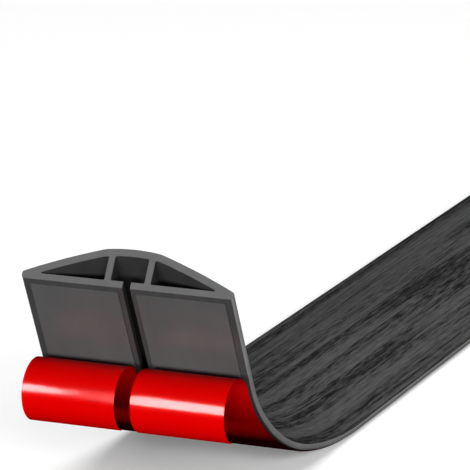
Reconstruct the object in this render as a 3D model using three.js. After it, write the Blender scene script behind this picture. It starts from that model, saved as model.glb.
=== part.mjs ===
// A floor cord cover: one length of soft PVC section with a flat base and a low, roof-shaped top.
// A slit along the base opens into a cable channel between two webs, with a closed chamber on each side.
// Two strips of adhesive tape run along the base under red release liners.
// The cover lies on the floor with one end curled up, where both liners are peeled back into rolls.
// Millimetres. X runs along the cover towards the far end, Y across it, and Z up from the floor.
import * as THREE from "three";

// The section of the cover
const stockLength = 1000;
const coverWidth = 76.6;
const coverHeight = 11.2;
const edgeHeight = 2;
const edgeRounding = 1;
const crownWidth = 20;
const crownRise = 0.6;
const flankRadius = 290;
const baseWall = 1.85;
const lipWall = 1.95;
const flankWall = 2.1;
const crownWall = 2.1;
const webWall = 2.3;
const channelWidth = 12.2;
const slitWidth = 2.8;

// The adhesive tapes and their liners
const tapeThickness = 0.4;
const tapeSlitMargin = 1.9;
const tapeSideMargin = 3;
const tapeEndMargin = 2;
const linerThickness = 0.2;
const linerSlitOverhang = 0.4;
const linerSideOverhang = 1.5;

// The curl of the raised end, from the floor upwards, on the underside of the cover
const footRadius = 173;
const footDegrees = 16.5;
const middleRadius = 93;
const middleDegrees = 27;
const neckRadius = 45;
const neckDegrees = 22.5;
const raisedLength = 37.4;

// On the inside of the curl the soft crown keeps part of its length, so it slides ahead of the base.
const crownSlip = 0.59;

// The peeled part of each liner, from the peel line up to the cover's end and the tab past it
const peeledLength = 37.2;
const linerTab = 3;
const peelNoseRadius = 4.4;
const peelNoseDegrees = 14;
const rollRadius = 10.8;

// The fineness of the facets
const bendFacetDegrees = 5;
const rollFacetDegrees = 12;
const arcDivisions = 4;

const rad = THREE.MathUtils.degToRad;

// An arc leg of a run. A positive turn lifts the run towards the cover's top, a negative one folds it away.
function arcLeg(radius, degrees, facetDegrees) {
  const turn = rad(degrees);
  return {
    length: radius * Math.abs(turn),
    turn,
    steps: Math.ceil(Math.abs(degrees) / facetDegrees),
  };
}

function straightLeg(length) {
  return { length, turn: 0, steps: 1 };
}

// The cover's run follows its underside from the far end along the floor and up the raised end.
const bendLegs = [
  arcLeg(footRadius, footDegrees, bendFacetDegrees),
  arcLeg(middleRadius, middleDegrees, bendFacetDegrees),
  arcLeg(neckRadius, neckDegrees, bendFacetDegrees),
];
const bendLength = bendLegs.reduce((sum, leg) => sum + leg.length, 0);
const floorLength = stockLength - bendLength - raisedLength;
const coverRun = [straightLeg(floorLength), ...bendLegs, straightLeg(raisedLength)];

// A liner follows the same run up to the peel line, turns sharply off the adhesive and rolls over.
const peelLine = stockLength - peeledLength;
const noseLeg = arcLeg(peelNoseRadius + tapeThickness, -peelNoseDegrees, rollFacetDegrees);
const rolledLength = peeledLength + linerTab - peelNoseRadius * rad(peelNoseDegrees);
const rollTurn = rolledLength / rollRadius;
const rollLeg = arcLeg(
  rollRadius + tapeThickness,
  -THREE.MathUtils.radToDeg(rollTurn),
  rollFacetDegrees,
);
const linerRun = [
  straightLeg(floorLength),
  ...bendLegs,
  straightLeg(raisedLength - peeledLength),
  noseLeg,
  rollLeg,
];
const linerRunLength = peelLine + noseLeg.length + rollLeg.length;

// The underside stands off the floor by the tape and the liner under it.
const undersideHeight = tapeThickness + linerThickness;

// The place and heading of a run at a distance from the far end
function stationAt(run, distance) {
  const station = { x: 0, z: undersideHeight, heading: 0 };
  let left = distance;
  for (const leg of run) {
    const travelled = Math.min(left, leg.length);
    const turn = (leg.turn * travelled) / leg.length;
    const chord = turn === 0 ? travelled : (travelled * Math.sin(turn / 2)) / (turn / 2);
    const direction = station.heading + turn / 2;
    station.x -= chord * Math.cos(direction);
    station.z += chord * Math.sin(direction);
    station.heading += turn;
    left -= travelled;
    if (left <= 0) break;
  }
  return station;
}

// The stations of a piece that lies along a run between two distances from the far end
function stationsBetween(run, from, to) {
  const distances = [from];
  let legStart = 0;
  for (const leg of run) {
    for (let step = 0; step <= leg.steps; step++) {
      const distance = legStart + (leg.length * step) / leg.steps;
      const last = distances[distances.length - 1];
      if (distance > last + 1e-6 && distance < to - 1e-6) distances.push(distance);
    }
    legStart += leg.length;
  }
  distances.push(to);
  return distances.map((distance) => stationAt(run, distance));
}

// A closed solid of a flat section carried along stations. The section's x goes across the cover, its y up from it.
function sweep(section, stations) {
  const steps = stations.length - 1;
  const geometry = new THREE.ExtrudeGeometry(section, {
    depth: steps,
    steps,
    bevelEnabled: false,
    curveSegments: arcDivisions,
  });
  const position = geometry.getAttribute("position");
  for (let i = 0; i < position.count; i++) {
    const { x, z, heading } = stations[Math.round(position.getZ(i))];
    const across = position.getX(i);
    const height = position.getY(i);
    const slide = crownSlip * Math.max(height, 0) * heading;
    position.setXYZ(
      i,
      x + height * Math.sin(heading) - slide * Math.cos(heading),
      -across,
      z + height * Math.cos(heading) + slide * Math.sin(heading),
    );
  }
  geometry.computeVertexNormals();
  return geometry;
}

// The centre of the circle of a radius through two points, on the side below the chord that runs leftwards
function centreBelow(right, left, radius) {
  const middle = right.clone().add(left).multiplyScalar(0.5);
  const chord = left.clone().sub(right);
  const drop = Math.sqrt(radius ** 2 - chord.lengthSq() / 4);
  const downwards = new THREE.Vector2(-chord.y, chord.x).normalize();
  return middle.addScaledVector(downwards, drop);
}

const angleFrom = (centre, point) => Math.atan2(point.y - centre.y, point.x - centre.x);

// The points and arc centres that the outline and the hollows share
const halfWidth = coverWidth / 2;
const halfCrown = crownWidth / 2;
const tapeInner = slitWidth / 2 + tapeSlitMargin;
const tapeOuter = halfWidth - tapeSideMargin;
const edgeTop = new THREE.Vector2(halfWidth, edgeHeight);
const crownCorner = new THREE.Vector2(halfCrown, coverHeight - crownRise);
const flankCentre = centreBelow(edgeTop, crownCorner, flankRadius);
const crownRadius = (halfCrown ** 2 + crownRise ** 2) / (2 * crownRise);
const crownCentre = new THREE.Vector2(0, coverHeight - crownRadius);

const mirrored = (point) => new THREE.Vector2(-point.x, point.y);

// The height of a circle's upper side above the base at a place across the cover
const circleTop = (centre, radius, across) => centre.y + Math.sqrt(radius ** 2 - (across - centre.x) ** 2);

// The outline of the cover, with the slit and the cable channel open to the base
function coverOutline() {
  const halfSlit = slitWidth / 2;
  const halfChannel = channelWidth / 2;
  const channelRoofRadius = crownRadius - crownWall;
  const channelCorner = new THREE.Vector2(
    halfChannel,
    circleTop(crownCentre, channelRoofRadius, halfChannel),
  );
  const cornerAcross = halfWidth - edgeRounding;
  const flankStart = angleFrom(flankCentre, edgeTop);
  const flankEnd = angleFrom(flankCentre, crownCorner);
  const crownStart = angleFrom(crownCentre, crownCorner);
  const roofStart = angleFrom(crownCentre, channelCorner);
  const outline = new THREE.Shape();
  outline.moveTo(halfSlit, 0);
  outline.lineTo(cornerAcross, 0);
  outline.absarc(cornerAcross, edgeRounding, edgeRounding, -Math.PI / 2, 0, false);
  outline.absarc(flankCentre.x, flankCentre.y, flankRadius, flankStart, flankEnd, false);
  outline.absarc(crownCentre.x, crownCentre.y, crownRadius, crownStart, Math.PI - crownStart, false);
  const otherFlank = mirrored(flankCentre);
  outline.absarc(
    otherFlank.x,
    otherFlank.y,
    flankRadius,
    Math.PI - flankEnd,
    Math.PI - flankStart,
    false,
  );
  outline.absarc(-cornerAcross, edgeRounding, edgeRounding, Math.PI, 1.5 * Math.PI, false);
  outline.lineTo(-halfSlit, 0);
  outline.lineTo(-halfSlit, lipWall);
  outline.lineTo(-halfChannel, lipWall);
  outline.absarc(
    crownCentre.x,
    crownCentre.y,
    channelRoofRadius,
    Math.PI - roofStart,
    roofStart,
    true,
  );
  outline.lineTo(halfChannel, lipWall);
  outline.lineTo(halfSlit, lipWall);
  return outline;
}

// The closed chamber between a web and the flank, on the side given by 1 or -1
function chamberHollow(side) {
  const webFace = channelWidth / 2 + webWall;
  const roofRadius = flankRadius - flankWall;
  const tipReach = Math.sqrt(roofRadius ** 2 - (baseWall - flankCentre.y) ** 2);
  const tip = new THREE.Vector2(flankCentre.x + tipReach, baseWall);
  const webTop = new THREE.Vector2(webFace, circleTop(flankCentre, roofRadius, webFace));
  const crownUnderside = circleTop(crownCentre, crownRadius - crownWall, webFace);
  webTop.y = Math.min(webTop.y, crownUnderside);
  const roofEnd = new THREE.Vector2(
    halfCrown,
    Math.min(
      circleTop(flankCentre, roofRadius, halfCrown),
      circleTop(crownCentre, crownRadius - crownWall, halfCrown),
    ),
  );
  const hollow = new THREE.Path();
  hollow.moveTo(side * webFace, baseWall);
  hollow.lineTo(side * tip.x, baseWall);
  const roofPoints = 4;
  for (let i = 1; i < roofPoints; i++) {
    const across = THREE.MathUtils.lerp(tip.x, roofEnd.x, i / roofPoints);
    hollow.lineTo(side * across, circleTop(flankCentre, roofRadius, across));
  }
  hollow.lineTo(side * roofEnd.x, roofEnd.y);
  hollow.lineTo(side * webTop.x, webTop.y);
  hollow.closePath();
  return hollow;
}

function rectangle(left, right, bottom, top) {
  const outline = new THREE.Shape();
  outline.moveTo(left, bottom);
  outline.lineTo(right, bottom);
  outline.lineTo(right, top);
  outline.lineTo(left, top);
  outline.closePath();
  return outline;
}

// The sections of one side's tape and liner. Both lie under the base, the liner under the tape.
function tapeSection(side) {
  const inner = side * tapeInner;
  const outer = side * tapeOuter;
  return rectangle(Math.min(inner, outer), Math.max(inner, outer), -tapeThickness, 0);
}

function linerSection(side) {
  const inner = side * (tapeInner - linerSlitOverhang);
  const outer = side * (tapeOuter + linerSideOverhang);
  const top = -tapeThickness;
  return rectangle(Math.min(inner, outer), Math.max(inner, outer), top - linerThickness, top);
}

const softPvc = new THREE.MeshStandardMaterial({ color: 0x3c3c3d, roughness: 0.6, metalness: 0 });
const acrylicFoam = new THREE.MeshStandardMaterial({ color: 0x4d4f4f, roughness: 0.35, metalness: 0 });
const redFilm = new THREE.MeshStandardMaterial({ color: 0xd80008, roughness: 0.2, metalness: 0 });

function namedMesh(name, geometry, material) {
  const mesh = new THREE.Mesh(geometry, material);
  mesh.name = name;
  return mesh;
}

function makeCover() {
  const section = coverOutline();
  section.holes.push(chamberHollow(-1), chamberHollow(1));
  return namedMesh("cover_extrusion", sweep(section, stationsBetween(coverRun, 0, stockLength)), softPvc);
}

function makeTape(label, side) {
  const stations = stationsBetween(coverRun, tapeEndMargin, stockLength - tapeEndMargin);
  return namedMesh(`adhesive_tape_${label}`, sweep(tapeSection(side), stations), acrylicFoam);
}

function makeLiner(label, side) {
  const stations = stationsBetween(linerRun, 0, linerRunLength);
  return namedMesh(`release_liner_${label}`, sweep(linerSection(side), stations), redFilm);
}

const cordCover = new THREE.Group();
cordCover.add(makeCover());
for (const [label, side] of [
  ["left", -1],
  ["right", 1],
]) {
  cordCover.add(makeTape(label, side), makeLiner(label, side));
}

// The origin is on the floor, under the middle of the cover's length.
const extent = new THREE.Box3().setFromObject(cordCover);
cordCover.position.x = -(extent.min.x + extent.max.x) / 2;

export default cordCover;
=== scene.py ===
"""Looks of a floor cord cover: a soft extruded strip with tapes and red release liners, one end curled up."""

import logging
import math
from dataclasses import dataclass, field
from enum import Enum
from typing import Callable, Iterable, Sequence

import bmesh
import bpy
from mathutils import Matrix, Quaternion, Vector
from mathutils.geometry import tessellate_polygon


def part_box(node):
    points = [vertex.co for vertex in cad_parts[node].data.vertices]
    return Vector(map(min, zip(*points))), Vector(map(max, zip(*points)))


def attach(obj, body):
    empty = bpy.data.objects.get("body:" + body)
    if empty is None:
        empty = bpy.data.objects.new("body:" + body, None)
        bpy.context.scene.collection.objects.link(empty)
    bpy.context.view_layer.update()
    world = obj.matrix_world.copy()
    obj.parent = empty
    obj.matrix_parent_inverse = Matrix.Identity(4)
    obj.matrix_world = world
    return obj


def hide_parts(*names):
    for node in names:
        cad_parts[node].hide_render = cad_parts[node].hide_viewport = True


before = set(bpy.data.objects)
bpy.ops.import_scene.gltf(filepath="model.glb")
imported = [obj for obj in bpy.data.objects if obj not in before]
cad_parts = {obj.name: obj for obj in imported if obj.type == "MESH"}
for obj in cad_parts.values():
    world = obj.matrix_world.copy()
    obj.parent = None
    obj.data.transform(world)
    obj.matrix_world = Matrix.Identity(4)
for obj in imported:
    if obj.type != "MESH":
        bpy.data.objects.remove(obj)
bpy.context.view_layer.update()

log = logging.getLogger("cord_cover")

Colour = tuple[float, float, float]
Point = tuple[float, float]

MM = 0.001
# Stations nearer to each other than this are one.
STATION_GAP = 0.02 * MM
# Two sides whose normals add up to less than this fold straight back.
FOLDED_BACK = 1e-9
# At a sharp corner a bevel reaches at most its depth divided by this.
LEAST_MITRE = 0.5
FLAT_PLACE = "flat_place"


class Zone(Enum):
    """The parts of a section's skin that look different from each other."""

    SKIN = 0
    EDGE = 1
    BASE = 2
    HOLLOW = 3
    CUT = 4


class Side(Enum):
    """The two sides of the slit, as seen from the far end towards the curled one."""

    LEFT = 1
    RIGHT = -1

    @property
    def word(self) -> str:
        """The side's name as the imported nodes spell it."""
        return self.name.lower()


class LampShape(Enum):
    """The outline of a studio light."""

    RECTANGLE = 1.0
    ELLIPSE = math.pi / 4

    @property
    def share(self) -> float:
        """The share of its width times its height that it fills."""
        return self.value


class Reach(Enum):
    """Whether a light reaches only the pieces linked to it, or all but them."""

    ONLY = "INCLUDE"
    ALL_BUT = "EXCLUDE"


@dataclass(frozen=True)
class Station:
    """A place on a run: where it is and how steeply it climbs towards the curled end."""

    x: float
    z: float
    heading: float
    distance: float


@dataclass(frozen=True)
class Leg:
    """A stretch of a run with one curvature, and the longest step that shows it smooth."""

    length: float
    turn: float
    step: float

    @classmethod
    def arc(cls, radius: float, degrees: float, step: float) -> "Leg":
        """An arc leg. A positive turn climbs towards the cover's top, a negative one folds away from it.

        Args:
            radius: Radius of the arc.
            degrees: How far it turns, with its sign.
            step: The longest distance between two of its stations.

        Returns:
            The leg.
        """
        turn = math.radians(degrees)
        return cls(radius * abs(turn), turn, step)

    @classmethod
    def straight(cls, length: float, step: float) -> "Leg":
        """A leg with no turn."""
        return cls(length, 0.0, step)


@dataclass(frozen=True)
class Run:
    """A line of legs from the far end along the floor, as the underside of the cover follows it."""

    start_x: float
    start_z: float
    legs: tuple[Leg, ...]

    @property
    def length(self) -> float:
        """The length of all the legs."""
        return sum(leg.length for leg in self.legs)

    def station(self, distance: float) -> Station:
        """The station at a distance from the far end.

        Args:
            distance: Distance along the run.

        Returns:
            The place and heading there.
        """
        x, z, heading, left = self.start_x, self.start_z, 0.0, distance
        for leg in self.legs:
            travelled = min(left, leg.length)
            turn = leg.turn * travelled / leg.length
            chord = travelled if turn == 0 else travelled * math.sin(turn / 2) / (turn / 2)
            x -= chord * math.cos(heading + turn / 2)
            z += chord * math.sin(heading + turn / 2)
            heading += turn
            left -= travelled
            if left <= 0:
                break
        return Station(x, z, heading, distance)

    def distances(self, first: float, last: float) -> list[float]:
        """The distances of evenly spread stations between two ends, with one at each change of curvature.

        Args:
            first: Distance of the first station.
            last: Distance of the last station.

        Returns:
            The distances in order.
        """
        found = [first]
        leg_start = 0.0
        for leg in self.legs:
            steps = max(1, math.ceil(leg.length / leg.step))
            for index in range(steps + 1):
                distance = leg_start + leg.length * index / steps
                if found[-1] + STATION_GAP < distance < last - STATION_GAP:
                    found.append(distance)
            leg_start += leg.length
        return found + [last]


@dataclass(frozen=True)
class Curl:
    """How the cover lies: flat on its liners, then curled up at one end in three arcs."""

    stock_length: float = 1000 * MM
    foot_radius: float = 173 * MM
    foot_degrees: float = 16.5
    middle_radius: float = 93 * MM
    middle_degrees: float = 27.0
    neck_radius: float = 45 * MM
    neck_degrees: float = 22.5
    raised_length: float = 37.4 * MM
    crown_slip: float = 0.59
    floor_step: float = 20 * MM
    bend_step: float = 1.5 * MM
    raised_step: float = 4 * MM

    def bend_legs(self) -> tuple[Leg, ...]:
        """The three arcs, from the floor upwards."""
        return (
            Leg.arc(self.foot_radius, self.foot_degrees, self.bend_step),
            Leg.arc(self.middle_radius, self.middle_degrees, self.bend_step),
            Leg.arc(self.neck_radius, self.neck_degrees, self.bend_step),
        )

    def floor_leg(self) -> Leg:
        """The straight leg that lies along the floor."""
        bend_length = sum(leg.length for leg in self.bend_legs())
        return Leg.straight(self.stock_length - bend_length - self.raised_length, self.floor_step)

    def cover_run(self, start_x: float, start_z: float) -> Run:
        """The run of the cover itself.

        Args:
            start_x: Where the far cut end is.
            start_z: Height of the underside above the floor.

        Returns:
            The run of the underside.
        """
        raised = Leg.straight(self.raised_length, self.raised_step)
        return Run(start_x, start_z, (self.floor_leg(), *self.bend_legs(), raised))


@dataclass(frozen=True)
class Loop:
    """One closed loop of a section, with the material on its left, and the zone of each of its sides."""

    points: tuple[Point, ...]
    zones: tuple[Zone, ...]

    def inset(self, depth: float) -> list[Point]:
        """The loop moved into the material, as a small bevel needs it.

        Args:
            depth: How far each side moves.

        Returns:
            The moved points, one for each point of the loop.
        """
        moved = []
        count = len(self.points)
        for index, (across, height) in enumerate(self.points):
            before = Vector(self.points[index - 1])
            here = Vector((across, height))
            after = Vector(self.points[(index + 1) % count])
            entering = (here - before).normalized()
            leaving = (after - here).normalized()
            inward = Vector((-entering.y - leaving.y, entering.x + leaving.x))
            if inward.length < FOLDED_BACK:
                moved.append((across, height))
                continue
            inward.normalize()
            reach = depth / max(LEAST_MITRE, inward.dot(Vector((-leaving.y, leaving.x))))
            moved.append((across + inward.x * reach, height + inward.y * reach))
        return moved


@dataclass
class Tracer:
    """Collects the corners of a loop, each with the radius that rounds it off."""

    corners: list[tuple[Vector, float]] = field(default_factory=list)
    fillet_steps: int = 4
    side_share: float = 0.6
    straight_from: float = math.radians(89.5)

    def to(self, across: float, height: float, rounding: float = 0.0) -> "Tracer":
        """Adds a corner and returns the tracer, so that calls can follow each other."""
        self.corners.append((Vector((across, height)), rounding))
        return self

    def along(self, points: Iterable[Point]) -> "Tracer":
        """Adds the points of a curve, which need no rounding.

        Args:
            points: The points in order.

        Returns:
            The tracer, so that calls can follow each other.
        """
        for across, height in points:
            self.to(across, height)
        return self

    def close(self, zone_at: Callable[[float, float], Zone]) -> Loop:
        """Rounds the corners and names each side's zone.

        Args:
            zone_at: Gives the zone of a place in the section.

        Returns:
            The closed loop.
        """
        points: list[Point] = []
        count = len(self.corners)
        for index, (corner, rounding) in enumerate(self.corners):
            before = self.corners[index - 1][0]
            after = self.corners[(index + 1) % count][0]
            points.extend(self._rounded(before, corner, after, rounding))
        zones = []
        for index, (across, height) in enumerate(points):
            next_across, next_height = points[(index + 1) % len(points)]
            zones.append(zone_at((across + next_across) / 2, (height + next_height) / 2))
        return Loop(tuple(points), tuple(zones))

    def _rounded(self, before: Vector, corner: Vector, after: Vector, rounding: float) -> list[Point]:
        """The points that stand for one corner: itself, or a small arc tangent to both its sides.

        Args:
            before: The corner before it.
            corner: The corner itself.
            after: The corner after it.
            rounding: Radius of the arc, or 0 for a sharp corner.

        Returns:
            The points in order.
        """
        back, ahead = (before - corner).normalized(), (after - corner).normalized()
        half_angle = back.angle(ahead) / 2 if rounding else math.pi / 2
        if rounding == 0 or half_angle > self.straight_from:
            return [(corner.x, corner.y)]
        room = self.side_share * min((before - corner).length, (after - corner).length)
        tangent = min(rounding / math.tan(half_angle), room)
        radius = tangent * math.tan(half_angle)
        centre = corner + (back + ahead).normalized() * (radius / math.sin(half_angle))
        start = corner + back * tangent - centre
        sweep = start.angle_signed(corner + ahead * tangent - centre)
        arc = []
        for step in range(self.fillet_steps + 1):
            spoke = start.copy()
            spoke.rotate(Matrix.Rotation(-sweep * step / self.fillet_steps, 2))
            arc.append((centre.x + spoke.x, centre.y + spoke.y))
        return arc


@dataclass(frozen=True)
class Circle:
    """A circle of the section, which is read off along its upper side."""

    across: float
    height: float
    radius: float

    @classmethod
    def through(cls, right: Point, left: Point, radius: float) -> "Circle":
        """The circle of a radius through two points, with its centre below them.

        Args:
            right: The point further right.
            left: The point further left.
            radius: The circle's radius.

        Returns:
            The circle.
        """
        chord = Vector(left) - Vector(right)
        drop = math.sqrt(radius ** 2 - chord.length_squared / 4)
        centre = (Vector(left) + Vector(right)) / 2 + Vector((-chord.y, chord.x)).normalized() * drop
        return cls(centre.x, centre.y, radius)

    def shrunk(self, wall: float) -> "Circle":
        """The circle a wall's thickness further in."""
        return Circle(self.across, self.height, self.radius - wall)

    def top(self, across: float) -> float:
        """The height of its upper side at a place across the section."""
        return self.height + math.sqrt(self.radius ** 2 - (across - self.across) ** 2)

    def upper_points(self, first: float, last: float, count: int) -> list[Point]:
        """Points on its upper side.

        Args:
            first: Where across the section they start.
            last: Where they end.
            count: How many steps lie between.

        Returns:
            The points, with both ends.
        """
        places = [first + (last - first) * step / count for step in range(count + 1)]
        return [(across, self.top(across)) for across in places]


def mirrored(points: Sequence[Point]) -> list[Point]:
    """The points on the other side of the slit, in reverse order so that the loop keeps its sense."""
    return [(-across, height) for across, height in reversed(points)]


def scaled(colour: Colour, factor: float) -> Colour:
    """A colour made lighter or darker by a factor."""
    return tuple(part * factor for part in colour)


class Shader:
    """A new material and short ways to fill its node tree."""

    def __init__(self, name: str) -> None:
        """Starts with the principled shader and its output.

        Args:
            name: Name of the material.
        """
        self.material = bpy.data.materials.new(name)
        self.material.use_nodes = True
        self.tree = self.material.node_tree
        self.body = self.tree.nodes["Principled BSDF"]

    def node(self, kind: str, **inputs: object) -> bpy.types.Node:
        """Adds a node and fills its inputs.

        Args:
            kind: The node's type.
            **inputs: Values or sockets by input name, with _ for a space.

        Returns:
            The node.
        """
        made = self.tree.nodes.new(kind)
        for name, value in inputs.items():
            self.put(made.inputs[name.replace("_", " ")], value)
        return made

    def put(self, socket: bpy.types.NodeSocket, value: object) -> None:
        """Links a socket into an input, or sets the input to a plain value.

        Args:
            socket: The input.
            value: A socket or a plain value.
        """
        if isinstance(value, bpy.types.NodeSocket):
            self.tree.links.new(value, socket)
        else:
            socket.default_value = value

    def plain(self, **inputs: object) -> None:
        """Fills inputs of the principled shader by name, with _ for a space."""
        for name, value in inputs.items():
            self.put(self.body.inputs[name.replace("_", " ")], value)

    def place(self, along: float, across: float, up: float) -> bpy.types.NodeSocket:
        """The place on the straight, uncurled stock, stretched for a pattern.

        Args:
            along: Pattern repeats for each metre of its length.
            across: Repeats for each metre of its width.
            up: Repeats for each metre of its height.

        Returns:
            The stretched place.
        """
        spot = self.node("ShaderNodeAttribute")
        spot.attribute_name = FLAT_PLACE
        stretch = self.node("ShaderNodeMapping", Vector=spot.outputs["Vector"], Scale=(along, across, up))
        return stretch.outputs["Vector"]

    def noise(self, place: bpy.types.NodeSocket, detail: float, roughness: float) -> bpy.types.NodeSocket:
        """A noise that varies about 0.5.

        Args:
            place: Where it is read.
            detail: How many finer layers it has.
            roughness: How strong the finer layers are.

        Returns:
            The noise's value.
        """
        made = self.node("ShaderNodeTexNoise", Vector=place, Scale=1.0, Detail=detail, Roughness=roughness)
        return made.outputs["Fac"]

    def spread(self, value: bpy.types.NodeSocket, low: float, high: float,
               to_low: float = 0.0, to_high: float = 1.0) -> bpy.types.NodeSocket:
        """Stretches a range of a value to another range, and holds it there.

        Args:
            value: The value.
            low: The value that gives to_low.
            high: The value that gives to_high.
            to_low: The new low end.
            to_high: The new high end.

        Returns:
            The stretched value.
        """
        ranged = self.node("ShaderNodeMapRange", Value=value, From_Min=low, From_Max=high,
                           To_Min=to_low, To_Max=to_high)
        return ranged.outputs["Result"]

    def blend(self, share: bpy.types.NodeSocket, first: object, second: object) -> bpy.types.NodeSocket:
        """Mixes two colours.

        Args:
            share: How much of the second shows.
            first: A colour or a socket.
            second: A colour or a socket.

        Returns:
            The mixed colour.
        """
        mix = self.tree.nodes.new("ShaderNodeMix")
        mix.data_type = "RGBA"
        self.put(mix.inputs["Factor"], share)
        colours = [socket for socket in mix.inputs if socket.type == "RGBA"]
        for socket, value in zip(colours, (first, second)):
            self.put(socket, value if isinstance(value, bpy.types.NodeSocket) else (*value, 1.0))
        return next(socket for socket in mix.outputs if socket.type == "RGBA")

    def math(self, operation: str, first: object, second: object = 0.0) -> bpy.types.NodeSocket:
        """Does one sum on values or sockets.

        Args:
            operation: The node's name for it.
            first: The first value or socket.
            second: The second one, where the operation has two.

        Returns:
            The result.
        """
        made = self.tree.nodes.new("ShaderNodeMath")
        made.operation = operation
        self.put(made.inputs[0], first)
        self.put(made.inputs[1], second)
        return made.outputs["Value"]

    def sum(self, first: object, second: object) -> bpy.types.NodeSocket:
        """Adds two values or sockets."""
        return self.math("ADD", first, second)

    def times(self, first: object, second: object) -> bpy.types.NodeSocket:
        """Multiplies two values or sockets."""
        return self.math("MULTIPLY", first, second)

    def flat_part(self, axis: str) -> bpy.types.NodeSocket:
        """One coordinate of the place on the straight, uncurled stock.

        Args:
            axis: X along the stock, Y across it or Z up from its base.

        Returns:
            The coordinate in metres.
        """
        spot = self.node("ShaderNodeAttribute")
        spot.attribute_name = FLAT_PLACE
        return self.node("ShaderNodeSeparateXYZ", Vector=spot.outputs["Vector"]).outputs[axis]

    def relief(self, height: bpy.types.NodeSocket, depth: float) -> None:
        """Gives the surface a fine relief.

        Args:
            height: The relief's height, from 0 to 1.
            depth: What a height of 1 stands for, in metres.
        """
        bump = self.node("ShaderNodeBump", Height=height, Strength=1.0, Distance=depth)
        self.plain(Normal=bump.outputs["Normal"])


@dataclass(frozen=True)
class Pattern:
    """A noise on the straight, uncurled stock: its repeats for each metre, and the part of it that shows."""

    along: float
    across: float
    up: float = 0.0
    detail: float = 3.0
    roughness: float = 0.6
    low: float = 0.3
    high: float = 0.7

    def noise(self, s: Shader) -> bpy.types.NodeSocket:
        """The noise itself, which varies about 0.5."""
        return s.noise(s.place(self.along, self.across, self.up), self.detail, self.roughness)

    def shown(self, s: Shader, noise: bpy.types.NodeSocket,
              to_low: float = 0.0, to_high: float = 1.0) -> bpy.types.NodeSocket:
        """Stretches the part of the noise that shows.

        Args:
            s: The shader it belongs to.
            noise: The pattern's noise.
            to_low: The new low end.
            to_high: The new high end.

        Returns:
            The stretched noise.
        """
        return s.spread(noise, self.low, self.high, to_low, to_high)


@dataclass(frozen=True)
class GrainedSkin:
    """The walked-on face: charcoal with dark streaks like wood grain along its length."""

    dark: Colour = (0.006, 0.006, 0.0064)
    light: Colour = (0.112, 0.112, 0.113)
    bands: Pattern = Pattern(along=4, across=150, low=0.45, high=0.62)
    lines: Pattern = Pattern(along=8, across=560, detail=4, low=0.42, high=0.68)
    dashes: Pattern = Pattern(along=95, across=1500, roughness=0.65, low=0.42, high=0.62)
    line_depth: float = 0.42
    dash_depth: float = 0.4
    band_depth: float = 0.35
    dash_depth_in_bands: float = 0.5
    rim_start: float = 31 * MM
    rim_end: float = 38 * MM
    rim_depth: float = 0.5
    rim_least: float = 0.3
    smoothest: float = 0.6
    roughest: float = 0.75
    gloss: float = 0.2
    relief_depth: float = 0.05 * MM

    def make(self) -> bpy.types.Material:
        """Builds the material."""
        s = Shader("grained_skin")
        layers = (self.bands, self.lines, self.dashes)
        bands, lines, dashes = (layer.shown(s, layer.noise(s)) for layer in layers)
        from_middle = s.math("ABSOLUTE", s.flat_part("Y"))
        # The skin is darker towards both edges, streaked by the grain lines.
        rim = s.spread(from_middle, self.rim_start, self.rim_end, 0.0, self.rim_depth)
        fibres = s.sum(s.times(lines, self.line_depth), s.times(dashes, self.dash_depth))
        in_bands = s.times(bands, s.sum(s.times(dashes, self.dash_depth_in_bands), self.band_depth))
        depth = s.sum(s.sum(fibres, in_bands), s.times(rim, s.sum(lines, self.rim_least)))
        s.plain(
            Base_Color=s.blend(depth, self.light, self.dark),
            Roughness=s.spread(lines, 0.0, 1.0, self.smoothest, self.roughest),
            Specular_IOR_Level=self.gloss,
        )
        s.relief(s.spread(depth, 0.0, 1.0, 1.0, 0.0), self.relief_depth)
        return s.material


@dataclass(frozen=True)
class PlainPvc:
    """Bare soft PVC with a faint mottle, as it leaves the die or the knife. The hollows' copy is darkened as
    painted shade.
    """

    name: str
    colour: Colour
    roughness: float
    mottle: float = 0.12
    cloud: Pattern = Pattern(along=60, across=160, up=160)
    drag_lines: Pattern = Pattern(along=14, across=400, up=400, detail=2, roughness=0.5)
    drag: float = 0.05
    ior: float = 1.4
    relief_depth: float = 0.01 * MM

    def make(self) -> bpy.types.Material:
        """Builds the material."""
        s = Shader(self.name)
        cloud, lines = self.cloud.noise(s), self.drag_lines.noise(s)
        darker, lighter = scaled(self.colour, 1 - self.mottle), scaled(self.colour, 1 + self.mottle)
        s.plain(
            Base_Color=s.blend(self.cloud.shown(s, cloud), darker, lighter),
            Roughness=self.drag_lines.shown(s, lines, self.roughness - self.drag, self.roughness + self.drag),
            IOR=self.ior,
        )
        s.relief(lines, self.relief_depth)
        return s.material


@dataclass(frozen=True)
class AcrylicFoam:
    """The tape's smooth, slightly tacky face."""

    colour: Colour = (0.1, 0.103, 0.103)
    mottle: float = 0.07
    smoothest: float = 0.3
    roughest: float = 0.37
    cloud: Pattern = Pattern(along=45, across=90)
    cells: Pattern = Pattern(along=900, across=900, up=900, detail=1, roughness=0.5)
    ior: float = 1.45
    relief_depth: float = 0.006 * MM

    def make(self) -> bpy.types.Material:
        """Builds the material."""
        s = Shader("acrylic_foam")
        cloud = self.cloud.noise(s)
        darker, lighter = scaled(self.colour, 1 - self.mottle), scaled(self.colour, 1 + self.mottle)
        s.plain(
            Base_Color=s.blend(self.cloud.shown(s, cloud), darker, lighter),
            Roughness=self.cloud.shown(s, cloud, self.smoothest, self.roughest),
            IOR=self.ior,
        )
        s.relief(self.cells.noise(s), self.relief_depth)
        return s.material


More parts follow.
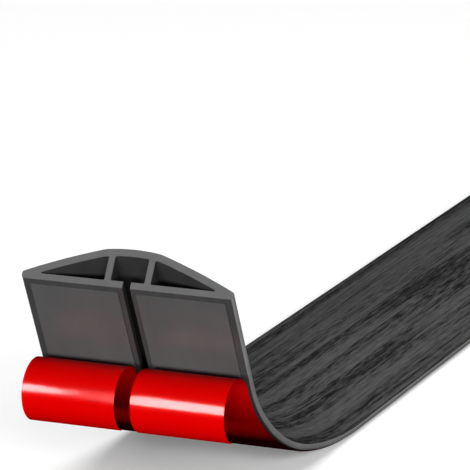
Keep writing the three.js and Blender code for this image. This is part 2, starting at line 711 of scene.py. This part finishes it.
@dataclass(frozen=True)
class RedFilm:
    """One face of the liner's red film: a deep colour under a thin clear gloss."""

    name: str
    colour: Colour
    roughness: float
    gloss: float
    gloss_roughness: float = 0.16
    mottle: float = 0.05
    smoother: float = 0.02
    rougher: float = 0.03
    cloud: Pattern = Pattern(along=40, across=60, detail=2, roughness=0.5)
    ripple: Pattern = Pattern(along=25, across=160, detail=1, roughness=0.4)
    relief_depth: float = 0.002 * MM

    def make(self) -> bpy.types.Material:
        """Builds the material."""
        s = Shader(self.name)
        cloud = self.cloud.noise(s)
        tint = s.blend(self.cloud.shown(s, cloud), scaled(self.colour, 1 - self.mottle), self.colour)
        smoothest, roughest = self.roughness - self.smoother, self.roughness + self.rougher
        s.plain(
            Base_Color=self.with_painted_shade(s, tint),
            Roughness=self.cloud.shown(s, cloud, smoothest, roughest),
            Specular_IOR_Level=0.0,
            Coat_Weight=self.gloss,
            Coat_Roughness=self.gloss_roughness,
        )
        s.relief(self.ripple.noise(s), self.relief_depth)
        return s.material

    def with_painted_shade(self, s: Shader, tint: bpy.types.NodeSocket) -> bpy.types.NodeSocket:
        """The film's colour with its painted shade: none, on this face."""
        return tint


@dataclass(frozen=True)
class PaintedShadeRedFilm(RedFilm):
    """The liner's other face, with painted shade: dark along the stock where it is stuck under the curled
    end, standing in for the shadow there.
    """

    painted_shade_colour: Colour = (0.02, 0.0, 0.0)
    painted_shade_until: float = 926 * MM
    painted_shade_end: float = 960 * MM

    def with_painted_shade(self, s: Shader, tint: bpy.types.NodeSocket) -> bpy.types.NodeSocket:
        """The film's colour, dark along the stock up to a little short of the peel line: painted shade that
        stands in for the shadow under the curled end.

        Args:
            s: The film's shader.
            tint: The unshaded film's colour.

        Returns:
            The colour.
        """
        # Painted shade: the colour turns from a very dark red to the film's red over the last stretch before
        # the peel line, where the curl's underside lies in shadow.
        unshaded = s.spread(s.flat_part("X"), self.painted_shade_until, self.painted_shade_end)
        return s.blend(unshaded, self.painted_shade_colour, tint)


@dataclass(frozen=True)
class Finishes:
    """The finishes of the cover's zones, and those of the tape and the liner."""

    skin: GrainedSkin = GrainedSkin()
    edge: PlainPvc = PlainPvc("edge_pvc", (0.24, 0.242, 0.242), roughness=0.5)
    base: PlainPvc = PlainPvc("base_pvc", (0.06, 0.061, 0.061), roughness=0.42)
    # Painted shade: the inner walls of the channel and chambers are the same PVC as the cut faces, darkened
    # to stand in for the shade inside them.
    hollow: PlainPvc = PlainPvc("hollow_pvc_painted_shade", (0.036, 0.036, 0.036), roughness=0.55)
    cut: PlainPvc = PlainPvc("cut_pvc", (0.13, 0.131, 0.131), roughness=0.55, mottle=0.06)
    tape: AcrylicFoam = AcrylicFoam()
    liner: RedFilm = RedFilm("red_film", (0.86, 0.0, 0.0), roughness=0.45, gloss=0.25)
    # The back face carries painted shade where it is stuck under the curled end.
    liner_back: PaintedShadeRedFilm = PaintedShadeRedFilm("red_film_back", (0.9, 0.0, 0.002), roughness=0.6, gloss=0.03)

    def cover_materials(self) -> list[bpy.types.Material]:
        """Makes the cover's materials.

        Returns:
            The materials, in the order of the zones.
        """
        by_zone = {
            Zone.SKIN: self.skin,
            Zone.EDGE: self.edge,
            Zone.BASE: self.base,
            Zone.HOLLOW: self.hollow,
            Zone.CUT: self.cut,
        }
        return [by_zone[zone].make() for zone in Zone]


@dataclass
class Sweep:
    """A solid piece: loops of a section carried along a run, with a small bevel round each end."""

    name: str
    loops: list[Loop]
    run: Run
    first: float
    last: float
    bevel: float
    slip: float = 0.0
    sharp_degrees: float = 32.0
    flat_weight: int = 80

    def build(self) -> bpy.types.Object:
        """Builds the mesh, with each point's place on the uncurled stock kept as an attribute.

        Returns:
            The new object.
        """
        inner = self.run.distances(self.first + self.bevel, self.last - self.bevel)
        stations = [self.run.station(d) for d in (self.first, *inner, self.last)]
        whole = [list(loop.points) for loop in self.loops]
        small = [loop.inset(self.bevel) for loop in self.loops]
        verts: list[Vector] = []
        flat: list[float] = []
        for index, station in enumerate(stations):
            ends = index in (0, len(stations) - 1)
            for points in small if ends else whole:
                for across, height in points:
                    verts.append(self._carried(station, across, height))
                    flat.extend((station.distance, across, height))
        faces, zones = self._side_faces(len(stations))
        for first_vertex in (0, len(verts) - sum(map(len, whole))):
            for triangle in tessellate_polygon([[Vector((*p, 0)) for p in points] for points in small]):
                faces.append(tuple(first_vertex + corner for corner in triangle))
                zones.append(Zone.CUT)
        return self._object(verts, faces, zones, flat)

    def _carried(self, station: Station, across: float, height: float) -> Vector:
        """A point of the section at a station, where the soft crown slides ahead of the base in the curl.

        Args:
            station: Where the section stands.
            across: The point's distance from the slit's middle.
            height: Its height above the base.

        Returns:
            The point's place.
        """
        sine, cosine = math.sin(station.heading), math.cos(station.heading)
        slide = self.slip * max(height, 0.0) * station.heading
        return Vector((
            station.x + height * sine - slide * cosine,
            across,
            station.z + height * cosine + slide * sine,
        ))

    def _side_faces(self, station_count: int) -> tuple[list[tuple[int, ...]], list[Zone]]:
        """The faces along the run, and their zones.

        Args:
            station_count: How many stations there are.

        Returns:
            The faces' corners and each face's zone.
        """
        faces: list[tuple[int, ...]] = []
        zones: list[Zone] = []
        ring = sum(len(loop.points) for loop in self.loops)
        for station in range(station_count - 1):
            offset = station * ring
            at_end = station in (0, station_count - 2)
            for loop in self.loops:
                count = len(loop.points)
                for index in range(count):
                    here, beside = offset + index, offset + (index + 1) % count
                    faces.append((here, beside, beside + ring, here + ring))
                    zones.append(Zone.CUT if at_end else loop.zones[index])
                offset += count
        return faces, zones

    def _object(self, verts: list[Vector], faces: list[tuple[int, ...]], zones: list[Zone],
                flat: list[float]) -> bpy.types.Object:
        """Turns points and faces into an object with outward faces and sharp corners.

        Args:
            verts: The points.
            faces: Each face's corners.
            zones: Each face's zone.
            flat: The places on the uncurled stock, three numbers a point.

        Returns:
            The object.
        """
        mesh = bpy.data.meshes.new(self.name)
        mesh.from_pydata(verts, [], faces)
        mesh.polygons.foreach_set("material_index", [zone.value for zone in zones])
        mesh.attributes.new(FLAT_PLACE, "FLOAT_VECTOR", "POINT").data.foreach_set("vector", flat)
        shape = bmesh.new()
        shape.from_mesh(mesh)
        bmesh.ops.recalc_face_normals(shape, faces=shape.faces)
        shape.to_mesh(mesh)
        shape.free()
        mesh.shade_smooth()
        mesh.set_sharp_from_angle(angle=math.radians(self.sharp_degrees))
        made = bpy.data.objects.new(self.name, mesh)
        bpy.context.scene.collection.objects.link(made)
        even = made.modifiers.new("flats_shaded_flat", "WEIGHTED_NORMAL")
        even.mode, even.weight, even.keep_sharp = "FACE_AREA", self.flat_weight, True
        return made


@dataclass
class CoverStrip:
    """The extruded cover: a flat base, a low roof, a slit cable channel and a chamber on each side of it."""

    curl: Curl
    width: float = 76.6 * MM
    height: float = 11.2 * MM
    edge_height: float = 2 * MM
    edge_rounding: float = 1 * MM
    shoulder_rounding: float = 0.6 * MM
    crown_width: float = 20 * MM
    crown_rise: float = 0.6 * MM
    flank_radius: float = 290 * MM
    base_wall: float = 1.85 * MM
    lip_wall: float = 1.95 * MM
    flank_wall: float = 2.1 * MM
    crown_wall: float = 2.1 * MM
    web_wall: float = 2.3 * MM
    channel_width: float = 12.2 * MM
    slit_width: float = 2.8 * MM
    inner_rounding: float = 0.35 * MM
    lip_rounding: float = 0.12 * MM
    crown_rounding: float = 12 * MM
    bevel: float = 0.1 * MM
    flank_steps: int = 20
    crown_steps: int = 16
    channel_roof_steps: int = 8
    chamber_steps: int = 10
    wall_margin: float = 0.01 * MM
    slit_start: float = 0.02 * MM
    base_margin: float = 0.05 * MM
    node: str = "cover_extrusion"

    def __post_init__(self) -> None:
        """Works out the circles that the roof and the hollows share."""
        half_crown = self.crown_width / 2
        crown_radius = (half_crown ** 2 + self.crown_rise ** 2) / (2 * self.crown_rise)
        corner = (half_crown, self.height - self.crown_rise)
        self.crown = Circle(0.0, self.height - crown_radius, crown_radius)
        self.flank = Circle.through((self.width / 2, self.edge_height), corner, self.flank_radius)

    def zone_at(self, across: float, height: float) -> Zone:
        """The zone of a place on the outline.

        Args:
            across: Distance from the slit's middle.
            height: Height above the base.

        Returns:
            The zone that the place looks like.
        """
        in_channel = abs(across) <= self.channel_width / 2 + self.wall_margin
        if in_channel and self.slit_start < height < self.height - self.crown_wall / 2:
            return Zone.HOLLOW
        at_edge = abs(across) > self.width / 2 - self.edge_rounding
        if at_edge and self.base_margin < height < self.edge_height:
            return Zone.EDGE
        return Zone.BASE if height <= self.base_margin else Zone.SKIN

    def outline(self) -> Loop:
        """The outer loop, with the slit and the channel open to the base.

        Returns:
            The loop.
        """
        half_slit, half_channel = self.slit_width / 2, self.channel_width / 2
        half_width, half_crown = self.width / 2, self.crown_width / 2
        roof = self.crown.shrunk(self.crown_wall)
        flank_points = self.flank.upper_points(half_width, half_crown, self.flank_steps)[1:-1]
        crown_points = self.crown.upper_points(half_crown, -half_crown, self.crown_steps)[1:-1]
        roof_points = roof.upper_points(-half_channel, half_channel, self.channel_roof_steps)[1:-1]
        right_side = [
            (half_width, 0.0, self.edge_rounding),
            (half_width, self.edge_height, self.shoulder_rounding),
        ]
        trace = Tracer().to(half_slit, 0.0, self.lip_rounding)
        for corner in right_side:
            trace.to(*corner)
        trace.along(flank_points).to(half_crown, self.height - self.crown_rise, self.crown_rounding)
        trace.along(crown_points).to(-half_crown, self.height - self.crown_rise, self.crown_rounding)
        trace.along(mirrored(flank_points))
        for across, height, rounding in reversed(right_side):
            trace.to(-across, height, rounding)
        trace.to(-half_slit, 0.0, self.lip_rounding).to(-half_slit, self.lip_wall, self.lip_rounding)
        trace.to(-half_channel, self.lip_wall, self.inner_rounding)
        trace.to(-half_channel, roof.top(half_channel), self.inner_rounding).along(roof_points)
        trace.to(half_channel, roof.top(half_channel), self.inner_rounding)
        trace.to(half_channel, self.lip_wall, self.inner_rounding)
        trace.to(half_slit, self.lip_wall, self.lip_rounding)
        return trace.close(self.zone_at)

    def chamber(self, side: Side) -> Loop:
        """The loop of one closed chamber, between a web and the flank.

        Args:
            side: Which chamber.

        Returns:
            The loop.
        """
        web_face = self.channel_width / 2 + self.web_wall
        roof, crown_roof = self.flank.shrunk(self.flank_wall), self.crown.shrunk(self.crown_wall)
        tip = roof.across + math.sqrt(roof.radius ** 2 - (self.base_wall - roof.height) ** 2)
        half_crown = self.crown_width / 2
        slope = roof.upper_points(tip, half_crown, self.chamber_steps)[1:-1]
        roof_end = min(roof.top(half_crown), crown_roof.top(half_crown))
        web_top = min(roof.top(web_face), crown_roof.top(web_face))
        corners = [
            (web_face, self.base_wall, self.inner_rounding),
            (web_face, web_top, self.inner_rounding),
            (half_crown, roof_end, 0.0),
        ]
        corners += [(across, height, 0.0) for across, height in reversed(slope)]
        corners.append((tip, self.base_wall, self.inner_rounding / 2))
        if side is Side.RIGHT:
            corners = [(-across, height, rounding) for across, height, rounding in reversed(corners)]
        trace = Tracer()
        for corner in corners:
            trace.to(*corner)
        return trace.close(lambda across, height: Zone.HOLLOW)

    def build(self) -> bpy.types.Object:
        """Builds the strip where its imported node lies.

        Returns:
            The strip.
        """
        low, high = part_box(self.node)
        run = self.curl.cover_run(high.x, low.z)
        loops = [self.outline(), self.chamber(Side.LEFT), self.chamber(Side.RIGHT)]
        sweep = Sweep("cover_strip", loops, run, first=0.0, last=self.curl.stock_length,
                      bevel=self.bevel, slip=self.curl.crown_slip)
        return sweep.build()

    def dress(self, strip: bpy.types.Object, finishes: Finishes) -> None:
        """Gives each zone its finish and ties the strip to the frame.

        Args:
            strip: The strip.
            finishes: The finishes to use.
        """
        for material in finishes.cover_materials():
            strip.data.materials.append(material)
        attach(strip, "root")
        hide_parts(self.node)


@dataclass
class Band:
    """A flat band under the base, on one side of the slit: what tape and liner have in common."""

    side: Side
    inner: float
    outer: float
    top: float
    thickness: float
    rounding: float
    back_share: float = 0.1

    def loop(self) -> Loop:
        """The band's section.

        Returns:
            The loop.
        """
        left, right = sorted((self.side.value * self.inner, self.side.value * self.outer))
        trace = Tracer(fillet_steps=3)
        for across, height in (
            (left, self.top - self.thickness),
            (right, self.top - self.thickness),
            (right, self.top),
            (left, self.top),
        ):
            trace.to(across, height, self.rounding)
        foot = self.top - self.thickness * self.back_share
        return trace.close(lambda across, height: Zone.BASE if height < foot else Zone.SKIN)


@dataclass
class AdhesiveTape:
    """One strip of foam tape on the base."""

    side: Side
    cover: CoverStrip
    thickness: float = 0.4 * MM
    slit_margin: float = 1.9 * MM
    side_margin: float = 3 * MM
    end_margin: float = 2 * MM
    rounding: float = 0.14 * MM

    @property
    def node(self) -> str:
        """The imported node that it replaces."""
        return f"adhesive_tape_{self.side.word}"

    @property
    def inner(self) -> float:
        """Distance of its inner edge from the slit's middle."""
        return self.cover.slit_width / 2 + self.slit_margin

    @property
    def outer(self) -> float:
        """Distance of its outer edge from the slit's middle."""
        return self.cover.width / 2 - self.side_margin

    def build(self) -> bpy.types.Object:
        """Builds the tape along the cover's run.

        Returns:
            The tape.
        """
        curl = self.cover.curl
        low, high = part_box(self.cover.node)
        run = curl.cover_run(high.x, low.z)
        band = Band(self.side, self.inner, self.outer, 0.0, self.thickness, self.rounding)
        sweep = Sweep(f"tape_{self.side.word}", [band.loop()], run, first=self.end_margin,
                      last=curl.stock_length - self.end_margin, bevel=self.rounding / 2)
        return sweep.build()

    def dress(self, tape: bpy.types.Object, finish: bpy.types.Material) -> None:
        """Gives the tape its finish and ties it to the frame.

        Args:
            tape: The tape.
            finish: The foam's material.
        """
        for _ in Zone:
            tape.data.materials.append(finish)
        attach(tape, "root")
        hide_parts(self.node)


@dataclass
class ReleaseLiner:
    """One red film: it covers its tape up to the peel line, and is rolled back from there."""

    tape: AdhesiveTape
    thickness: float = 0.2 * MM
    slit_overhang: float = 0.4 * MM
    side_overhang: float = 1.5 * MM
    peeled_length: float = 37.2 * MM
    tab: float = 3 * MM
    nose_radius: float = 4.4 * MM
    nose_degrees: float = 14.0
    roll_radius: float = 10.8 * MM
    roll_step: float = 0.6 * MM
    rounding: float = 0.08 * MM

    @property
    def node(self) -> str:
        """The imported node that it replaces."""
        return f"release_liner_{self.tape.side.word}"

    def run(self) -> Run:
        """The cover's run up to the peel line, then a sharp turn off the adhesive and the roll.

        Returns:
            The run.
        """
        curl, face = self.tape.cover.curl, self.tape.thickness
        low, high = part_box(self.tape.cover.node)
        rolled = self.peeled_length + self.tab - self.nose_radius * math.radians(self.nose_degrees)
        stuck = Leg.straight(curl.raised_length - self.peeled_length, curl.raised_step)
        nose = Leg.arc(self.nose_radius + face, -self.nose_degrees, self.roll_step)
        roll = Leg.arc(self.roll_radius + face, -math.degrees(rolled / self.roll_radius), self.roll_step)
        return Run(high.x, low.z, (curl.floor_leg(), *curl.bend_legs(), stuck, nose, roll))

    def build(self) -> bpy.types.Object:
        """Builds the liner.

        Returns:
            The liner.
        """
        tape = self.tape
        band = Band(tape.side, tape.inner - self.slit_overhang, tape.outer + self.side_overhang,
                    -tape.thickness, self.thickness, self.rounding)
        run = self.run()
        sweep = Sweep(f"liner_{tape.side.word}", [band.loop()], run, first=0.0, last=run.length,
                      bevel=self.rounding / 2)
        return sweep.build()

    def dress(self, liner: bpy.types.Object, face: bpy.types.Material, back: bpy.types.Material) -> None:
        """Gives the liner its two faces and ties it to the frame.

        Args:
            liner: The liner.
            face: The material of the face that lay on the adhesive, which is outside on the roll.
            back: The material of the other face.
        """
        for zone in Zone:
            liner.data.materials.append(back if zone is Zone.BASE else face)
        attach(liner, "root")
        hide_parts(self.node)


@dataclass(frozen=True)
class Lamp:
    """A flat studio light that faces a point."""

    name: str
    place: tuple[float, float, float]
    aim: tuple[float, float, float]
    width: float
    height: float
    brightness: float
    shape: LampShape = LampShape.RECTANGLE
    tilt_degrees: float = 0.0
    lights_matt: bool = True
    shows_in_gloss: bool = True

    def build(self) -> bpy.types.Object:
        """Builds the light, with a power that gives its surface the stated brightness.

        Returns:
            The light.
        """
        data = bpy.data.lights.new(self.name, "AREA")
        data.shape, data.size, data.size_y = self.shape.name, self.width, self.height
        data.energy = self.brightness * math.pi * self.width * self.height * self.shape.share
        lamp = bpy.data.objects.new(self.name, data)
        lamp.location = self.place
        lamp.rotation_mode = "QUATERNION"
        facing = (Vector(self.aim) - Vector(self.place)).to_track_quat("-Z", "Y")
        lamp.rotation_quaternion = facing @ Quaternion((0.0, 0.0, 1.0), math.radians(self.tilt_degrees))
        lamp.visible_camera = False
        lamp.visible_diffuse = self.lights_matt
        lamp.visible_glossy = self.shows_in_gloss
        bpy.context.scene.collection.objects.link(lamp)
        return lamp


@dataclass
class Studio:
    """The pale floor, the soft lights and the camera."""

    floor_half: float = 20.0
    floor_colour: Colour = (0.9, 0.9, 0.9)
    floor_roughness: float = 0.9
    floor_glow: float = 0.13
    far_glow: float = 1.0
    glow_start: float = 1.5
    glow_end: float = 6.0
    sky: float = 0.15
    sky_foot: float = -0.1
    camera_place: tuple[float, float, float] = (-1.600503, -0.52347, 0.42127)
    camera_yaw: float = 23.3533
    camera_pitch: float = 14.7442
    camera_roll: float = -0.6153
    camera_lens: float = 299.2
    camera_reach: float = 60.0
    sensor: float = 36.0
    curl_end: tuple[float, float, float] = (-0.47, 0.0, 0.05)

    def floor(self) -> bpy.types.Object:
        """Builds the floor, which throws no light back up at the object and stays pale far from it.

        Returns:
            The floor.
        """
        half = self.floor_half
        mesh = bpy.data.meshes.new("studio_floor")
        corners = [(-half, -half, 0), (half, -half, 0), (half, half, 0), (-half, half, 0)]
        mesh.from_pydata(corners, [], [(0, 1, 2, 3)])
        s = Shader("pale_floor")
        far = s.node("ShaderNodeVectorMath", Vector=s.node("ShaderNodeTexCoord").outputs["Object"])
        far.operation = "LENGTH"
        glow = s.spread(far.outputs["Value"], self.glow_start, self.glow_end, self.floor_glow, self.far_glow)
        s.plain(Base_Color=(*self.floor_colour, 1.0), Roughness=self.floor_roughness, Specular_IOR_Level=0.0,
                Emission_Color=(1.0, 1.0, 1.0, 1.0), Emission_Strength=glow)
        mesh.materials.append(s.material)
        made = bpy.data.objects.new("studio_floor", mesh)
        made.visible_diffuse = made.visible_glossy = False
        bpy.context.scene.collection.objects.link(made)
        return made

    def lamps(self) -> list[Lamp]:
        """The lights that reach everything: two low keys and a panel in front.

        Returns:
            The lights.
        """
        aim = self.curl_end
        return [
            Lamp("camera_side_key", (-1.65, -0.62, 0.15), aim, width=0.9, height=0.26, brightness=13.6,
                 shows_in_gloss=False),
            Lamp("left_key", (-1.75, 0.45, 0.15), aim, width=0.8, height=0.26, brightness=12.6,
                 shows_in_gloss=False),
            Lamp("front_panel", (-1.6, 0.5, 0.2), aim, width=0.9, height=0.36, brightness=0.8,
                 lights_matt=False),
        ]

    def fills(self) -> list[Lamp]:
        """The lights that leave the red films out: one overhead and one on each side.

        Returns:
            The lights.
        """
        return [
            Lamp("overhead", (0.0, 0.0, 2.6), (0.0, 0.0, 0.0), width=3.2, height=2.4, brightness=2.0),
            Lamp("near_fill", (-0.2, -1.9, 0.5), (-0.2, 0.0, 0.0), width=1.6, height=0.8, brightness=2.4,
                 shows_in_gloss=False),
            Lamp("far_fill", (0.6, 1.9, 0.9), (0.2, 0.0, 0.0), width=1.6, height=0.8, brightness=1.2,
                 shows_in_gloss=False),
        ]

    def streaks(self) -> list[Lamp]:
        """The small lights whose reflections make the streak on each roll.

        Returns:
            The lights.
        """
        return [
            Lamp("right_streak", (-0.5718, 0.0165, 0.0668), (-0.4838, -0.0228, 0.0413),
                 width=0.043, height=0.05, brightness=75.0, lights_matt=False),
            Lamp("left_streak", (-0.5695, 0.088, 0.0705), (-0.4838, 0.0453, 0.0415),
                 width=0.052, height=0.045, brightness=75.0, shape=LampShape.ELLIPSE, tilt_degrees=-20.0,
                 lights_matt=False),
        ]

    def linked(self, lamp: Lamp, reach: Reach, pieces: Sequence[bpy.types.Object]) -> None:
        """Builds a light that reaches some pieces only.

        Args:
            lamp: The light.
            reach: Whether it reaches only the pieces, or all but them.
            pieces: The pieces.
        """
        group = bpy.data.collections.new(f"{lamp.name}_pieces")
        for piece in pieces:
            group.objects.link(piece)
        for member in group.collection_objects:
            member.light_linking.link_state = reach.value
        lamp.build().light_linking.receiver_collection = group

    def sky_light(self) -> None:
        """Gives the world an even pale light from above the horizon, and none from below it."""
        world = bpy.data.worlds.new("studio_sky")
        world.use_nodes = True
        tree = world.node_tree
        heading = tree.nodes.new("ShaderNodeTexCoord")
        parts = tree.nodes.new("ShaderNodeSeparateXYZ")
        fade = tree.nodes.new("ShaderNodeMapRange")
        tree.links.new(heading.outputs["Generated"], parts.inputs["Vector"])
        tree.links.new(parts.outputs["Z"], fade.inputs["Value"])
        fade.inputs["From Min"].default_value = self.sky_foot
        fade.inputs["From Max"].default_value = 0.0
        fade.inputs["To Max"].default_value = self.sky
        backdrop = tree.nodes["Background"]
        backdrop.inputs["Color"].default_value = (1.0, 1.0, 1.0, 1.0)
        tree.links.new(fade.outputs["Result"], backdrop.inputs["Strength"])
        world.cycles_visibility.glossy = False
        bpy.context.scene.world = world

    def camera(self) -> None:
        """Builds the camera at the photograph's angle."""
        yaw, pitch = math.radians(self.camera_yaw), math.radians(self.camera_pitch)
        ahead = Vector((math.cos(yaw) * math.cos(pitch), math.sin(yaw) * math.cos(pitch), -math.sin(pitch)))
        level = Vector((math.sin(yaw), -math.cos(yaw), 0.0))
        turn = Matrix.Rotation(-math.radians(self.camera_roll), 3, ahead)
        right = turn @ level
        up = turn @ level.cross(ahead)
        data = bpy.data.cameras.new("photo_camera")
        data.lens, data.sensor_width, data.clip_end = self.camera_lens, self.sensor, self.camera_reach
        made = bpy.data.objects.new("photo_camera", data)
        axes = Matrix((right, up, -ahead)).transposed().to_4x4()
        made.matrix_world = Matrix.Translation(self.camera_place) @ axes
        bpy.context.scene.collection.objects.link(made)
        bpy.context.scene.camera = made

    def build(self, films: Sequence[bpy.types.Object]) -> None:
        """Builds everything round the object.

        The fills leave the films out, so that the rolls keep their dark tops. The wash lights the
        floor alone, so that it is pale as far as under the curled end.

        Args:
            films: The red films.
        """
        bpy.context.scene.view_settings.view_transform = "Standard"
        self.sky_light()
        wash = Lamp("floor_wash", (-4.2, -3.0, 2.0), (0.0, 0.0, 0.0), width=3.0, height=1.0, brightness=20.0)
        self.linked(wash, Reach.ONLY, [self.floor()])
        for fill in self.fills():
            self.linked(fill, Reach.ALL_BUT, films)
        for streak in self.streaks():
            self.linked(streak, Reach.ONLY, films)
        for lamp in self.lamps():
            lamp.build()
        self.camera()


def report(piece: bpy.types.Object) -> None:
    """Logs what a piece is made of.

    Args:
        piece: The piece.
    """
    mesh = piece.data
    mesh.calc_loop_triangles()
    log.info("%s: %d points, %d triangles", piece.name, len(mesh.vertices), len(mesh.loop_triangles))


def main() -> None:
    """Builds the studio and each piece in order."""
    logging.basicConfig(level=logging.INFO, format="%(name)s %(message)s")
    finishes = Finishes()
    cover = CoverStrip(Curl())
    strip = cover.build()
    cover.dress(strip, finishes)
    report(strip)
    foam, film, film_back = finishes.tape.make(), finishes.liner.make(), finishes.liner_back.make()
    films = []
    for side in Side:
        tape = AdhesiveTape(side, cover)
        piece = tape.build()
        tape.dress(piece, foam)
        report(piece)
        liner = ReleaseLiner(tape)
        piece = liner.build()
        liner.dress(piece, film, film_back)
        films.append(piece)
        report(piece)
    Studio().build(films)
    bpy.context.view_layer.update()


if __name__ == "__main__":
    main()
